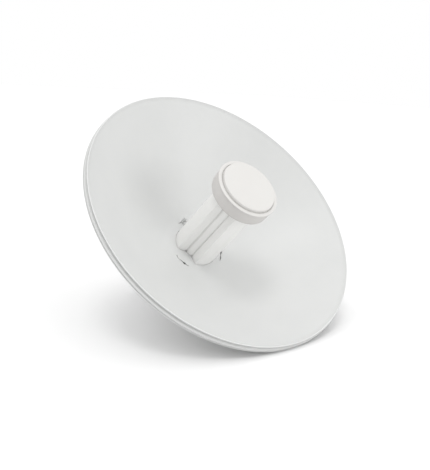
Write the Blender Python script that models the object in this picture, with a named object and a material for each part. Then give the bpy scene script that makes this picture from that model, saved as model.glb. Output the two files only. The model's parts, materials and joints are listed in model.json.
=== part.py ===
"""Outdoor wireless bridge: a round dish, the radio feed that plugs into it, and its pole mount.

Everything is drawn in the unit's own frame: the origin is the centre of the dish's hub face, +Z is the
direction the dish looks in, +Y is its upper side and +X is the tilt axis. The empty "stance" then lays the
whole unit down as it rests on a table, on its rim and on the ends of its two clamp bolts.
"""

import math

import bmesh
import bpy
from mathutils import Matrix, Vector

# ---------------------------------------------------------------- driving sizes, in metres
GAP = 0.0003  # between pieces that rest on each other

DISH_RADIUS = 0.2100  # over the rolled edge
DISH_DEPTH = 0.0950  # hub face to the plane of the front lip
SKIN = 0.0012
HUB_LEDGE = 0.0020  # flat of the hub left round the housing
LIP_INSET = 0.0018  # the front lip is this much smaller in radius than the rolled edge

TUBE_RADIUS = 0.0335
TUBE_WALL = 0.0022
TUBE_TAPER = 0.94  # width at the cap as a share of the width at the hub
CHANNEL_FLOOR = 0.0225  # distance of a channel's floor from the axis
CHANNEL_HALF = 0.0058  # half width of that floor
CHANNEL_SPREAD = 30.0  # half the angle that a channel takes up, in degrees
CHANNELS = (90.0, 210.0, 330.0)
TUBE_TAIL = 0.0175  # how far the tube goes behind the hub face

CAP_BOTTOM = 0.1250  # height of the cap's underside above the hub face
CAP_HEIGHT = 0.0224
CAP_RADIUS = 0.0452
CAP_WALL = 0.0020
LID_OVERHANG = 0.0009  # how far the lid stands out past the cap's wall
LID_EDGE = 0.0022
LID_DISC_RADIUS = 0.0400
LID_DISC_RISE = 0.0040

SLOT_INSET = 0.0030  # middle of the bayonet slots outside the socket's wall
SLOT_WIDTH = 0.0024
SLOT_SPAN = 16.0  # half angle of a bayonet slot, in degrees
WINDOW_WIDTH = 0.0058
HOOK_OFFSET = -8.0  # where the hook lies in its slot, in degrees
HOOK_HALF = 4.5
KEY_GAP = 0.0009  # between the tube and the dish's keyed hole

HOUSING_MARGIN = 0.0090  # housing's edge outside the middle of the slots
HOUSING_DEPTH = 0.0200  # hub face to the back of the housing
HOUSING_WALL = 0.0025
SOCKET_INNER = 0.0370
SOCKET_WALL = 0.0030
COVER_THICK = 0.0025
SCREW_INSET = 0.0068  # middle of a housing screw inside the housing's edge

PLATE = 0.0025  # steel sheet of both brackets
DISH_EAR_X = 0.0212  # inner face of the dish bracket's ears
EAR_PLAY = 0.0003
PIVOT_BACK = 0.0235  # pivot's distance behind the cover's outer face
PIVOT_UP = 0.0120
LOCK_ARM = 0.0220  # pivot to locking bolt
TILT_RANGE = 15.0
PIVOT_BOLT_R = 0.0040
LOCK_BOLT_R = 0.0030
HOLE_PLAY = 0.0003

POLE_PLATE_HALF = 0.0450  # half width of the plate that carries the clamp bolts
CLAMP_BOLT_X = 0.0360
CLAMP_BOLT_R = 0.0040
CLAMP_BOLT_END = 0.1240  # hub face to the tips of the clamp bolts
JAW_GAP = 0.0385  # between the two clamp plates as stored
TOOTH_DEPTH = 0.0140
BRACKET_TOOTH_Y = 0.0120
JAW_TOOTH_Y = 0.0080

SEGMENTS_DISH = 72
SEGMENTS_ROUND = 36
SEGMENTS_BOLT = 24

# ---------------------------------------------------------------- sizes that follow from those
SLOT_RADIUS = SOCKET_INNER + SOCKET_WALL + SLOT_INSET
HOUSING_RADIUS = SLOT_RADIUS + HOUSING_MARGIN
HUB_FLAT_RADIUS = HOUSING_RADIUS + HUB_LEDGE
SCREW_CIRCLE = HOUSING_RADIUS - SCREW_INSET
LIP_RADIUS = DISH_RADIUS - LIP_INSET - 0.0016
FOCAL_4 = (LIP_RADIUS**2 - HUB_FLAT_RADIUS**2) / DISH_DEPTH  # four focal lengths of the paraboloid
HOUSING_FRONT = -SKIN - GAP
COVER_FRONT = -HOUSING_DEPTH - GAP
COVER_BACK = COVER_FRONT - COVER_THICK
DISH_PLATE_FRONT = COVER_BACK - GAP
DISH_PLATE_BACK = DISH_PLATE_FRONT - PLATE
PIVOT_Z = COVER_BACK - PIVOT_BACK
LOCK_Y = PIVOT_UP - LOCK_ARM
POLE_EAR_X = DISH_EAR_X + PLATE + EAR_PLAY
POLE_EAR_OUT = POLE_EAR_X + PLATE
POLE_PLATE_FRONT = PIVOT_Z - LOCK_ARM * math.sin(math.radians(TILT_RANGE)) - 0.0093
POLE_PLATE_BACK = POLE_PLATE_FRONT - PLATE
JAW_FRONT = POLE_PLATE_BACK - JAW_GAP
JAW_BACK = JAW_FRONT - PLATE
LID_RADIUS = CAP_RADIUS + LID_OVERHANG
CAP_TOP = CAP_BOTTOM + CAP_HEIGHT - LID_EDGE - GAP
LID_TOP = CAP_BOTTOM + CAP_HEIGHT
BOARD_TOP = -0.0090  # height of the circuit board's upper face over the axis
BOARD_THICK = 0.0016
RESET_AT = (0.0108, -0.0096)  # sideways from the axis, and height, of the reset button
RESET_RADIUS = 0.0016
JACK_HALF = 0.0080


# ---------------------------------------------------------------- materials
def material(name, colour, roughness, metallic=0.0):
    made = bpy.data.materials.new(name)
    made.use_nodes = True
    shader = made.node_tree.nodes["Principled BSDF"]
    shader.inputs["Base Color"].default_value = (*colour, 1.0)
    shader.inputs["Roughness"].default_value = roughness
    shader.inputs["Metallic"].default_value = metallic
    return made


def make_materials():
    return {
        "dish_paint": material("dish_paint", (0.84, 0.85, 0.84), 0.45),
        "white_plastic": material("white_plastic", (0.88, 0.87, 0.85), 0.40),
        "grey_plastic": material("grey_plastic", (0.55, 0.56, 0.57), 0.50),
        "zinc_steel": material("zinc_steel", (0.70, 0.71, 0.72), 0.35, 1.0),
        "aluminium": material("aluminium", (0.80, 0.80, 0.81), 0.30, 1.0),
        "black_rubber": material("black_rubber", (0.03, 0.03, 0.03), 0.80),
        "black_plastic": material("black_plastic", (0.05, 0.05, 0.05), 0.50),
        "board_green": material("board_green", (0.05, 0.22, 0.12), 0.45),
        "lens_clear": material("lens_clear", (0.80, 0.90, 0.95), 0.15),
    }


# ---------------------------------------------------------------- shape helpers
def place(point, along):
    """Turns (across, up, depth) so that depth runs along X, Y or Z."""
    u, v, w = point
    return {"X": (w, u, v), "Y": (v, w, u), "Z": (u, v, w)}[along]


def finish(name, work, finish_name, smooth=True):
    """Closes a bmesh into a named object with its material, faces pointing out."""
    bmesh.ops.remove_doubles(work, verts=work.verts, dist=1e-7)
    bmesh.ops.recalc_face_normals(work, faces=work.faces)
    mesh = bpy.data.meshes.new(name)
    work.to_mesh(mesh)
    work.free()
    if finish_name:
        mesh.materials.append(MATERIALS[finish_name])
    if smooth:
        mesh.shade_smooth()
        mesh.set_sharp_from_angle(angle=math.radians(35))
    made = bpy.data.objects.new(name, mesh)
    bpy.context.scene.collection.objects.link(made)
    return made


def loft(name, rings, finish_name, along="Z", closed=False):
    """Skins rings of equal point count: each ring is (depth, [(u, v), ...]). Closed joins last to first."""
    work = bmesh.new()
    loops = []
    for depth, ring in rings:
        loops.append([work.verts.new(place((u, v, depth), along)) for u, v in ring])
    count = len(loops[0])
    pairs = list(zip(loops, loops[1:]))
    if closed:
        pairs.append((loops[-1], loops[0]))
    for low, high in pairs:
        for i in range(count):
            j = (i + 1) % count
            work.faces.new((low[i], low[j], high[j], high[i]))
    if not closed:
        work.faces.new(loops[0])
        work.faces.new(loops[-1])
    return finish(name, work, finish_name)


def circle(radius, segments=SEGMENTS_ROUND, centre=(0.0, 0.0)):
    turns = [2 * math.pi * i / segments for i in range(segments)]
    return [(centre[0] + radius * math.cos(t), centre[1] + radius * math.sin(t)) for t in turns]


def polygon_ring(across_flats, sides, segments=SEGMENTS_BOLT, centre=(0.0, 0.0)):
    """Points on the edge of a regular polygon, as many as a circle of that many segments has."""
    points = []
    sector = 2 * math.pi / sides
    for i in range(segments):
        turn = 2 * math.pi * i / segments
        reach = across_flats / 2 / math.cos((turn % sector) - sector / 2)
        points.append((centre[0] + reach * math.cos(turn), centre[1] + reach * math.sin(turn)))
    return points


def revolve(name, profile, finish_name, segments=SEGMENTS_ROUND, along="Z", centre=(0.0, 0.0), closed=False):
    """Turns a profile of (radius, depth) points about the axis."""
    rings = [(depth, circle(radius, segments, centre)) for radius, depth in profile]
    return loft(name, rings, finish_name, along, closed)


def prism(name, outline, low, high, finish_name, along="Z"):
    """Extrudes a flat outline from one depth to another."""
    return loft(name, [(low, outline), (high, outline)], finish_name, along)


def block(name, low, high, finish_name):
    """A box between two opposite corners."""
    outline = [(low[0], low[1]), (high[0], low[1]), (high[0], high[1]), (low[0], high[1])]
    return prism(name, outline, low[2], high[2], finish_name)


def arc_points(radius, start, end, steps):
    """Points on an arc about the axis, angles in degrees."""
    turns = [math.radians(start + (end - start) * i / steps) for i in range(steps + 1)]
    return [(radius * math.cos(t), radius * math.sin(t)) for t in turns]


def arc_band(inner, outer, start, end, steps=6):
    """The outline of a stretch of a ring."""
    return arc_points(outer, start, end, steps) + arc_points(inner, end, start, steps)


def rounded_box(x0, x1, y0, y1, radius, steps=3):
    """A rectangle with round corners."""
    corners = ((x1 - radius, y1 - radius, 0), (x0 + radius, y1 - radius, 90))
    corners += ((x0 + radius, y0 + radius, 180), (x1 - radius, y0 + radius, 270))
    outline = []
    for cx, cy, start in corners:
        outline += [(cx + u, cy + v) for u, v in arc_points(radius, start, start + 90, steps)]
    return outline


def combine(target, tool, operation):
    """Cuts a tool from an object or joins it on, and removes the tool."""
    step = target.modifiers.new("step", "BOOLEAN")
    step.operation = operation
    step.solver = "EXACT"
    step.object = tool
    graph = bpy.context.evaluated_depsgraph_get()
    mesh = bpy.data.meshes.new_from_object(target.evaluated_get(graph))
    target.modifiers.clear()
    old = target.data
    target.data = mesh
    bpy.data.meshes.remove(old)
    bpy.data.objects.remove(tool)
    mesh.name = target.name
    mesh.shade_smooth()
    mesh.set_sharp_from_angle(angle=math.radians(35))
    return target


def cut(target, tool):
    return combine(target, tool, "DIFFERENCE")


def join(target, tool):
    return combine(target, tool, "UNION")


# ---------------------------------------------------------------- the feed tube's section
def channel_edge(offset):
    """The end of the floor and the start of the lobe for a channel along +Y, both moved out by offset."""
    spread = math.radians(CHANNEL_SPREAD)
    floor_end = Vector((CHANNEL_HALF, CHANNEL_FLOOR))
    lobe_start = Vector((TUBE_RADIUS * math.sin(spread), TUBE_RADIUS * math.cos(spread)))
    run = (lobe_start - floor_end).normalized()
    outward = Vector((-run.y, run.x))
    base = floor_end + offset * outward
    to_floor = (CHANNEL_FLOOR + offset - base.y) / run.y
    across = base.dot(run)
    reach = TUBE_RADIUS + offset
    to_lobe = -across + math.sqrt(across**2 - base.length_squared + reach**2)
    return base + to_floor * run, base + to_lobe * run


def tube_section(offset=0.0, share=1.0, arc_steps=7):
    """The tube's outline: three round lobes with three wide channels between them."""
    floor_end, lobe_start = channel_edge(offset)
    lobe_angle = math.degrees(math.atan2(lobe_start.x, lobe_start.y))
    outline = []
    for channel in CHANNELS:
        turn = Matrix.Rotation(math.radians(channel - 90.0), 2)
        for x, y in ((floor_end.x, floor_end.y), (-floor_end.x, floor_end.y)):
            point = turn @ Vector((x, y)) * share
            outline.append((point.x, point.y))
        start = channel + lobe_angle
        lobe = arc_points((TUBE_RADIUS + offset) * share, start, start + 120.0 - 2 * lobe_angle, arc_steps)
        outline += lobe
    return outline


def taper_at(depth):
    """The tube's width at a depth as a share of its width at the hub."""
    return 1.0 - (1.0 - TUBE_TAPER) * max(depth, 0.0) / CAP_BOTTOM


# ---------------------------------------------------------------- reflector
def dish_profile():
    """The dish's wall as a closed loop of (radius, depth), with its lip, groove and rolled edge."""
    inner = 0.0150
    steps = 11
    front = [(inner, 0.0), (HUB_FLAT_RADIUS, 0.0)]
    for i in range(1, steps + 1):
        radius = HUB_FLAT_RADIUS + (LIP_RADIUS - 0.0010 - HUB_FLAT_RADIUS) * i / steps
        front.append((radius, (radius**2 - HUB_FLAT_RADIUS**2) / FOCAL_4))
    lip, edge, top = LIP_RADIUS, DISH_RADIUS, DISH_DEPTH
    rim = [
        (lip, top),
        (lip + 0.0012, top),
        (lip + 0.0016, top - 0.0006),
        (lip + 0.0016, top - 0.0024),
        (lip + 0.0004, top - 0.0030),
        (lip + 0.0004, top - 0.0044),
        (edge - 0.0008, top - 0.0052),
        (edge, top - 0.0060),
        (edge, top - 0.0100),
        (edge - 0.0006, top - 0.0106),
        (edge - 0.0030, top - 0.0106),
        (edge - 0.0050, top - 0.0080),
    ]
    back = [(radius, depth - SKIN * 1.06) for radius, depth in front[2:-1]]
    return front + rim + list(reversed(back)) + [(HUB_FLAT_RADIUS, -SKIN), (inner, -SKIN)]


def slot_outline(centre):
    """A bayonet slot: a narrow arc with a wide window in it for the hook's head."""
    half, wide = SLOT_WIDTH / 2, WINDOW_WIDTH / 2
    start, end = centre - SLOT_SPAN, centre + SLOT_SPAN
    open_from, open_to = centre + 1.0, centre + 8.0
    outer = arc_points(SLOT_RADIUS + half, start, open_from, 4)
    outer += arc_points(SLOT_RADIUS + wide, open_from, open_to, 2)
    outer += arc_points(SLOT_RADIUS + half, open_to, end, 2)
    inner = arc_points(SLOT_RADIUS - half, end, open_to, 2)
    inner += arc_points(SLOT_RADIUS - wide, open_to, open_from, 2)
    inner += arc_points(SLOT_RADIUS - half, open_from, start, 4)
    return outer + inner


def make_dish():
    dish = revolve("reflector_dish", dish_profile(), "dish_paint", SEGMENTS_DISH, closed=True)
    cut(dish, prism("tool", tube_section(KEY_GAP), -0.01, 0.01, None))
    for centre in CHANNELS:
        cut(dish, prism("tool", slot_outline(centre), -0.01, 0.01, None))
    return dish


# ---------------------------------------------------------------- rear housing
def make_housing():
    """Moulded hub behind the dish: outer wall, socket for the feed, screw posts and three hooks."""
    front, back = HOUSING_FRONT, -HOUSING_DEPTH
    floor = front - 0.0030
    socket_out = SOCKET_INNER + SOCKET_WALL
    shell = HOUSING_RADIUS - HOUSING_WALL
    profile = [
        (SOCKET_INNER, front),
        (HOUSING_RADIUS - 0.0020, front),
        (HOUSING_RADIUS, front - 0.0020),
        (HOUSING_RADIUS, back),
        (shell, back),
        (shell, floor),
        (socket_out, floor),
        (socket_out, back + 0.0006),
        (SOCKET_INNER, back + 0.0006),
    ]
    housing = revolve("rear_housing", profile, "white_plastic", closed=True)
    for turn in (45, 135, 225, 315):
        centre = (SCREW_CIRCLE * math.cos(math.radians(turn)), SCREW_CIRCLE * math.sin(math.radians(turn)))
        post = revolve("tool", [(0.0038, floor + 0.0006), (0.0038, back + 0.0006)], None, 12, centre=centre)
        join(housing, post)
        bore = [(0.0025 + HOLE_PLAY, back - 0.002), (0.0025 + HOLE_PLAY, floor - 0.0022)]
        cut(housing, revolve("tool", bore, None, 12, centre=centre))
    for centre in CHANNELS:
        at = centre + HOOK_OFFSET
        neck = HOOK_HALF - 0.8
        stem = arc_band(SLOT_RADIUS - 0.0009, SLOT_RADIUS + 0.0009, at - neck, at + neck, 4)
        head = arc_band(SLOT_RADIUS - 0.0022, SLOT_RADIUS + 0.0022, at - HOOK_HALF, at + HOOK_HALF, 3)
        join(housing, prism("tool", stem, front - 0.0015, 0.0008, None))
        join(housing, prism("tool", head, GAP, 0.0018, None))
    window = block("tool", (-0.0140, -HOUSING_RADIUS - 0.002, -0.0172), (0.0140, -0.0300, -0.0052), None)
    cut(housing, window)
    cut(housing, block("tool", (-0.0063, 0.0300, -0.0153), (0.0063, 0.0560, -0.0077), None))
    return housing


def make_rear_cover():
    """Disc that closes the back of the housing."""
    edge = HOUSING_RADIUS
    profile = [
        (0.0100, COVER_FRONT),
        (edge, COVER_FRONT),
        (edge, COVER_BACK + 0.0012),
        (edge - 0.0012, COVER_BACK),
        (0.0100, COVER_BACK),
    ]
    cover = revolve("rear_cover", profile, "white_plastic", closed=True)
    for turn in (45, 135, 225, 315):
        cut(cover, screw_hole(turn, COVER_FRONT + 0.002, COVER_BACK - 0.002))
    return cover


def screw_hole(turn, low, high):
    centre = (SCREW_CIRCLE * math.cos(math.radians(turn)), SCREW_CIRCLE * math.sin(math.radians(turn)))
    radius = 0.0025 + HOLE_PLAY
    return revolve("tool", [(radius, low), (radius, high)], None, 12, centre=centre)


def make_vent_plug():
    """Breather plug in the cover's middle, with a mushroom head and a barb inside."""
    head = COVER_BACK - GAP
    profile = [(0.0096, COVER_FRONT), (0.0096, head)]
    profile += [(0.0106, head), (0.0106, head - 0.0008), (0.0085, head - 0.0018)]
    return revolve("vent_plug", profile, "black_rubber")


def make_port_cover():
    """Sliding cover over the cable window, with a notch that the cable leaves by."""
    top, bottom = -HOUSING_RADIUS - GAP + 0.0042, -HOUSING_RADIUS - 0.0030
    inner = -HOUSING_RADIUS - GAP
    plate = block("port_cover", (-0.0170, bottom, -0.0190), (0.0170, inner, -0.0034), "white_plastic")
    for side in (-1, 1):
        x0, x1 = sorted((side * 0.0134, side * 0.0116))
        join(plate, block("tool", (x0, -HOUSING_RADIUS - 0.001, -0.0166), (x1, top, -0.0058), None))
    grip = block("tool", (-0.0110, bottom - 0.0016, -0.0072), (0.0110, bottom + 0.0005, -0.0052), None)
    join(plate, grip)
    hole = revolve("tool", [(0.0042, bottom - 0.003), (0.0042, top + 0.003)], None, 24, "Y", (-0.0125, 0.0))
    return cut(plate, hole)


def make_cable_gland():
    """Rubber gland that seals the port cover's cable hole."""
    inner, outer = 0.0026, 0.0042 - GAP
    upper, lower = -HOUSING_RADIUS - GAP, -HOUSING_RADIUS - 0.0030
    profile = [
        (inner, upper),
        (outer, upper),
        (outer, lower - GAP),
        (outer + 0.0012, lower - GAP),
        (outer + 0.0012, lower - 0.0014),
        (inner, lower - 0.0014),
    ]
    return revolve("cable_gland", profile, "black_rubber", 24, "Y", (-0.0125, 0.0), closed=True)


def make_release_button():
    """Press button on top of the housing that frees the feed."""
    button = block("release_button", (-0.0060, 0.0440, -0.0150), (0.0060, 0.0536, -0.0080), "grey_plastic")
    join(button, block("tool", (-0.0025, CHANNEL_FLOOR + 0.0025, -0.0135), (0.0025, 0.0450, -0.0095), None))
    return button


def make_feed_seal():
    """Foam ring between the feed tube and the socket."""
    profile = [
        (TUBE_RADIUS + GAP, -0.0030),
        (SOCKET_INNER - GAP, -0.0030),
        (SOCKET_INNER - GAP, -0.0048),
        (TUBE_RADIUS + GAP, -0.0048),
    ]
    return revolve("feed_seal", profile, "black_rubber", closed=True)


# ---------------------------------------------------------------- feed
def make_feed_tube():
    low, high = -TUBE_TAIL, CAP_BOTTOM + 0.0040
    outer = [(z, tube_section(0.0, taper_at(z))) for z in (low, 0.0, high)]
    inner = [(z, tube_section(-TUBE_WALL, taper_at(z))) for z in (high, 0.0, low)]
    tube = loft("feed_tube", outer + inner, "white_plastic", closed=True)
    out = -TUBE_RADIUS
    cut(tube, block("tool", (-0.0066, out - 0.0065, -0.0140), (0.0066, out + 0.0055, -0.0052), None))
    reset_hole = [(RESET_RADIUS + HOLE_PLAY, out - 0.0065), (RESET_RADIUS + HOLE_PLAY, out + 0.0095)]
    cut(tube, revolve("tool", reset_hole, None, 16, "Y", (RESET_AT[1], RESET_AT[0])))
    lamp = CHANNEL_FLOOR - 0.0050
    cut(tube, block("tool", (-0.0046, lamp, 0.0180), (0.0046, lamp + 0.0100, 0.0216), None))
    return tube


def make_feed_cap():
    """Cup at the head of the feed, with a keyed hole for the tube."""
    profile = [
        (0.0120, CAP_BOTTOM),
        (CAP_RADIUS - 0.0018, CAP_BOTTOM),
        (CAP_RADIUS, CAP_BOTTOM + 0.0018),
        (CAP_RADIUS, CAP_TOP),
        (CAP_RADIUS - CAP_WALL, CAP_TOP),
        (CAP_RADIUS - CAP_WALL, CAP_BOTTOM + 0.0025),
        (0.0120, CAP_BOTTOM + 0.0025),
    ]
    cap = revolve("feed_cap", profile, "white_plastic", 48, closed=True)
    hole = tube_section(GAP / TUBE_TAPER, taper_at(CAP_BOTTOM))
    return cut(cap, prism("tool", hole, CAP_BOTTOM - 0.01, CAP_BOTTOM + 0.01, None))


def make_feed_lid():
    """Radome lid: a round edge, and a disc that stands up from it."""
    under = LID_TOP - LID_EDGE
    spigot = CAP_RADIUS - CAP_WALL - GAP
    top = LID_TOP + LID_DISC_RISE
    profile = [
        (spigot - 0.0018, under - 0.0050),
        (spigot, under - 0.0050),
        (spigot, under),
        (LID_RADIUS - 0.0005, under),
        (LID_RADIUS, under + 0.0005),
        (LID_RADIUS, LID_TOP - 0.0007),
        (LID_RADIUS - 0.0007, LID_TOP),
        (LID_DISC_RADIUS, LID_TOP),
        (LID_DISC_RADIUS, top - 0.0010),
        (LID_DISC_RADIUS - 0.0010, top),
        (0.0, top),
        (0.0, top - 0.0020),
        (LID_DISC_RADIUS - 0.0030, top - 0.0020),
        (LID_DISC_RADIUS - 0.0030, under),
        (spigot - 0.0018, under),
    ]
    return revolve_with_pole("feed_lid", profile, "white_plastic", 48)


def revolve_with_pole(name, profile, finish_name, segments):
    """Turns a closed profile of which two points lie on the axis: they become one point each."""
    work = bmesh.new()
    rings = []
    for radius, depth in profile:
        if radius == 0.0:
            rings.append([work.verts.new((0.0, 0.0, depth))])
        else:
            rings.append([work.verts.new((x, y, depth)) for x, y in circle(radius, segments)])
    for low, high in zip(rings, rings[1:] + rings[:1]):
        if len(low) == len(high) == 1:
            continue
        for i in range(segments):
            j = (i + 1) % segments
            corners = [low[i % len(low)], low[j % len(low)], high[j % len(high)], high[i % len(high)]]
            work.faces.new(list(dict.fromkeys(corners)))
    return finish(name, work, finish_name)


def make_subreflector():
    """Shallow metal cone that throws the beam back on to the dish."""
    base = CAP_BOTTOM + 0.0105
    reach = CAP_RADIUS - CAP_WALL - 0.0024
    profile = [(0.0030, base), (reach, base + 0.0028), (reach, base + 0.0038), (0.0030, base + 0.0010)]
    return revolve("subreflector", profile, "aluminium", closed=True)


def make_cap_seal():
    """Rubber ring under the lid's spigot."""
    low = CAP_BOTTOM + 0.0025 + GAP
    outer = CAP_RADIUS - CAP_WALL - 0.0010
    inner, high = outer - 0.0022, low + 0.0022
    profile = [(inner, low), (outer, low), (outer, high), (inner, high)]
    return revolve("cap_seal", profile, "black_rubber", closed=True)


def make_driven_element():
    """Radiating patch on its stem, at the mouth of the tube."""
    profile = [(0.0030, 0.1190), (0.0030, 0.1300), (0.0160, 0.1300), (0.0160, 0.1312)]
    return revolve("driven_element", profile, "aluminium", 24)


def board_half():
    """Half the board's width: its lower edges stay clear of the two lower channels at the narrow end."""
    slant = math.radians(30.0)
    room = CHANNEL_FLOOR * TUBE_TAPER - TUBE_WALL - GAP
    return (room - (BOARD_THICK - BOARD_TOP) * math.sin(slant)) / math.cos(slant)


def make_board():
    low, half = BOARD_TOP - BOARD_THICK, board_half()
    return block("radio_board", (-half, low, -0.0150), (half, BOARD_TOP, 0.1150), "board_green")


def make_shields():
    low, half = BOARD_TOP + GAP, board_half() - 0.0020
    block("radio_shield", (-half, low, 0.0620), (half, low + 0.0045, 0.1080), "aluminium")
    block("processor_shield", (-half, low, 0.0100), (half, low + 0.0045, 0.0560), "aluminium")


def make_ethernet_jack():
    """Network socket that faces the cable window below."""
    top = BOARD_TOP - BOARD_THICK - GAP
    low = -math.sqrt((TUBE_RADIUS - TUBE_WALL - 2 * GAP) ** 2 - JACK_HALF**2)
    jack = block("ethernet_jack", (-JACK_HALF, low, -0.0154), (JACK_HALF, top, -0.0038), "black_plastic")
    return cut(jack, block("tool", (-0.0060, low - 0.0100, -0.0136), (0.0060, top - 0.0063, -0.0056), None))


def make_reset():
    """Reset switch on the board and its long button."""
    at = RESET_AT
    top = BOARD_TOP - BOARD_THICK - GAP
    near = (at[0] - 0.0024, top - 0.0060, at[1] - 0.0024)
    block("reset_switch", near, (at[0] + 0.0024, top, at[1] + 0.0024), "black_plastic")
    low, high = 0.0008 - math.sqrt(TUBE_RADIUS**2 - at[0] ** 2), top - 0.0060 - 0.0009
    profile = [(RESET_RADIUS, low), (RESET_RADIUS, high)]
    revolve("reset_button", profile, "grey_plastic", 16, "Y", (at[1], at[0]))


def make_tail_plate():
    """Plate that closes the tube's rear end."""
    outline = tube_section(-TUBE_WALL - GAP)
    return prism("tail_plate", outline, -TUBE_TAIL, -TUBE_TAIL + 0.0016, "white_plastic")


def make_led_lens():
    """Light bar for the status lamps, let into the upper channel."""
    share = taper_at(0.0198)
    face = CHANNEL_FLOOR * share
    return block("led_lens", (-0.0043, face - 0.0030, 0.0183), (0.0043, face + 0.0002, 0.0213), "lens_clear")


# ---------------------------------------------------------------- brackets
def ear_hole(radius, y, z):
    return revolve("tool", [(radius, -0.06), (radius, 0.06)], None, SEGMENTS_BOLT, "X", (y, z))


def make_dish_bracket():
    """Sheet steel: a square plate on the cover with two ears bent back."""
    half = 0.0390
    chamfer = 0.0060
    outline = [
        (half - chamfer, -half),
        (half, -half + chamfer),
        (half, half - chamfer),
        (half - chamfer, half),
        (-half + chamfer, half),
        (-half, half - chamfer),
        (-half, -half + chamfer),
        (-half + chamfer, -half),
    ]
    bracket = prism("dish_bracket", outline, DISH_PLATE_BACK, DISH_PLATE_FRONT, "zinc_steel")
    root = DISH_PLATE_BACK + 0.0005
    ear = [(PIVOT_UP + 0.0150, root), (LOCK_Y - 0.0130, root)]
    ear += [(LOCK_Y + 0.0080 * math.cos(a), PIVOT_Z + 0.0080 * math.sin(a)) for a in turns(200, 270, 3)]
    ear += [(PIVOT_UP + 0.0090 * math.cos(a), PIVOT_Z + 0.0090 * math.sin(a)) for a in turns(270, 340, 3)]
    for side in (-1, 1):
        near, far = sorted((side * DISH_EAR_X, side * (DISH_EAR_X + PLATE)))
        join(bracket, prism("tool", ear, near, far, None, "X"))
    cut(bracket, ear_hole(PIVOT_BOLT_R + HOLE_PLAY, PIVOT_UP, PIVOT_Z))
    cut(bracket, ear_hole(LOCK_BOLT_R + HOLE_PLAY, LOCK_Y, PIVOT_Z))
    relief = [(0.0110, DISH_PLATE_FRONT + 0.004), (0.0110, DISH_PLATE_BACK - 0.004)]
    cut(bracket, revolve("tool", relief, None, SEGMENTS_BOLT))
    for turn in (45, 135, 225, 315):
        cut(bracket, screw_hole(turn, DISH_PLATE_FRONT + 0.002, DISH_PLATE_BACK - 0.002))
    return bracket


def turns(start, end, steps):
    return [math.radians(start + (end - start) * i / steps) for i in range(steps + 1)]


def tilt_slot():
    """Arc about the pivot that the locking bolt runs in."""
    half = LOCK_BOLT_R + HOLE_PLAY
    spread = TILT_RANGE + math.degrees(0.0006 / LOCK_ARM)
    outer = [(LOCK_ARM + half, a) for a in turns(270 - spread, 270 + spread, 6)]
    inner = [(LOCK_ARM - half, a) for a in turns(270 + spread, 270 - spread, 6)]
    ends = []
    for at, sign in ((270 + spread, 1), (270 - spread, -1)):
        centre = (LOCK_ARM * math.cos(math.radians(at)), LOCK_ARM * math.sin(math.radians(at)))
        radial = math.radians(at) if sign > 0 else math.radians(at) + math.pi
        for step in range(1, 5):
            a = radial + math.pi * step / 5
            ends.append((centre[0] + half * math.cos(a), centre[1] + half * math.sin(a), sign))
    points = [(r * math.cos(a), r * math.sin(a)) for r, a in outer]
    points += [(u, v) for u, v, sign in ends if sign > 0]
    points += [(r * math.cos(a), r * math.sin(a)) for r, a in inner]
    points += [(u, v) for u, v, sign in ends if sign < 0]
    # drawn with +u to the rear as (z, y); the prism along X wants (y, z)
    return [(PIVOT_UP + v, PIVOT_Z + u) for u, v in points]


def tooth_outline(reach, mouth=0.0220, teeth=5, bite=0.0014):
    """V of a clamp plate with teeth along both flanks, as (x, depth) with the plate at depth 0."""
    half = 0.0290
    vertex = 0.0020
    flank = []
    for i in range(teeth):
        share = i / teeth
        flank.append((mouth * share, vertex + (reach - vertex) * share))
        share = (i + 0.5) / teeth
        flank.append((mouth * share + bite, vertex + (reach - vertex) * share - bite))
    flank.append((mouth, reach))
    right = list(reversed(flank))
    left = [(-x, depth) for x, depth in flank[1:]]
    return [(-half, -0.0005), (half, -0.0005), (half, reach)] + right + left + [(-half, reach)]


def make_pole_bracket():
    """Sheet steel: a wide plate with two ears forward, and two toothed shelves for the pole."""
    top, bottom = 0.0260, -0.0300
    outline = rounded_box(-POLE_PLATE_HALF, POLE_PLATE_HALF, -0.0145, 0.0145, 0.0040)
    bracket = prism("pole_bracket", outline, POLE_PLATE_BACK, POLE_PLATE_FRONT, "zinc_steel")
    middle = rounded_box(-POLE_EAR_OUT, POLE_EAR_OUT, bottom, top, 0.0020)
    join(bracket, prism("tool", middle, POLE_PLATE_BACK, POLE_PLATE_FRONT, None))
    front = PIVOT_Z + 0.0120
    low = LOCK_Y - LOCK_BOLT_R - HOLE_PLAY - 0.0032
    ear = [
        (low, POLE_PLATE_BACK + 0.0004),
        (top, POLE_PLATE_BACK + 0.0004),
        (top, front - 0.0060),
        (top - 0.0060, front),
        (low + 0.0050, front),
        (low, front - 0.0050),
    ]
    for side in (-1, 1):
        near, far = sorted((side * POLE_EAR_X, side * POLE_EAR_OUT))
        join(bracket, prism("tool", ear, near, far, None, "X"))
    cut(bracket, ear_hole(PIVOT_BOLT_R + HOLE_PLAY, PIVOT_UP, PIVOT_Z))
    cut(bracket, prism("tool", tilt_slot(), -0.06, 0.06, None, "X"))
    for side in (-1, 1):
        shelf = [(POLE_PLATE_BACK - d, x) for x, d in tooth_outline(TOOTH_DEPTH)]
        near, far = sorted((side * BRACKET_TOOTH_Y, side * (BRACKET_TOOTH_Y + PLATE)))
        join(bracket, prism("tool", shelf, near, far, None, "Y"))
        square = polygon_ring(0.0080 + 2 * HOLE_PLAY, 4, 8, (side * CLAMP_BOLT_X, 0.0))
        cut(bracket, prism("tool", square, POLE_PLATE_BACK - 0.002, POLE_PLATE_FRONT + 0.002, None))
    return bracket


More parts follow.
